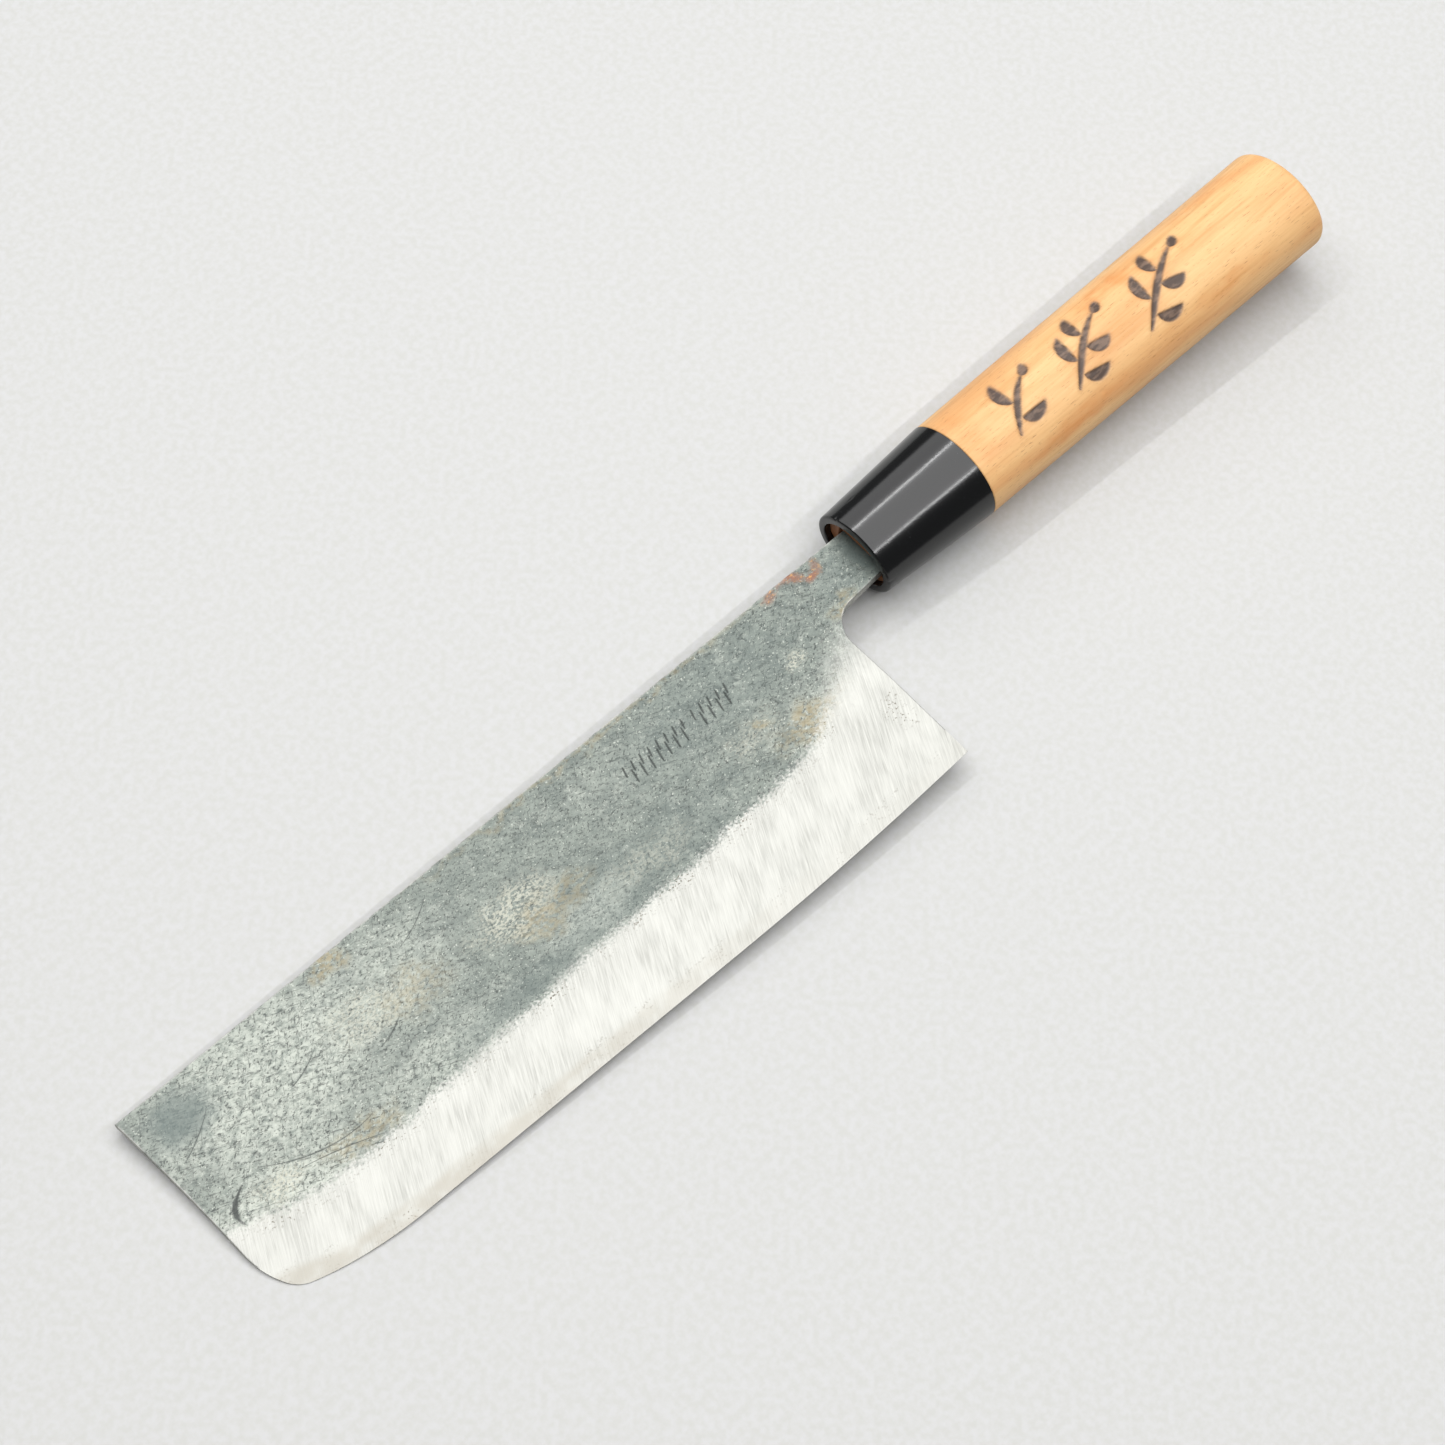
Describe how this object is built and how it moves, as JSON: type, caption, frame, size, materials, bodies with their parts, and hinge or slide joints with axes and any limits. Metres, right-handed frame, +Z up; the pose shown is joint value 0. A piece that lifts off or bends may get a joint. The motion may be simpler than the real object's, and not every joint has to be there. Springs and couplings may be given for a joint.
{
  "type": "vegetable cleaver",
  "caption": "Straight-edged kitchen cleaver with a dark forged blade, a bright ground bevel, a black collar and an oval wooden stick-tang handle.",
  "frame": {"origin": "on the surface that the knife lies on, under the centre of its bounding box", "axes": "+X from the blade to the butt, +Y from the cutting edge to the spine, +Z up, with the left side of the blade facing up. The knife lies at rest on the front of its bevel and on its collar, so its own axis rises 2.0 degrees towards the butt and the blade leans 3.7 degrees towards its edge"},
  "size_m": [0.3058, 0.0576, 0.0228],
  "materials": {
    "core_steel": "hard carbon steel, ground and bare along the cutting edge",
    "forged_cladding": "soft iron with black forge scale on the flats and a bright ground bevel",
    "handle_wood": "pale magnolia, sanded and unvarnished, with a burned ornament",
    "collar_plastic": "polished black plastic with fine scuffs",
    "bedding_resin": "dark cast resin"
  },
  "bodies": {
    "root": {"core_steel": "core_steel", "cladding_left": "forged_cladding", "cladding_right": "forged_cladding", "handle": "handle_wood", "ferrule": "collar_plastic", "tang_bedding": "bedding_resin"}
  },
  "joints": []
}
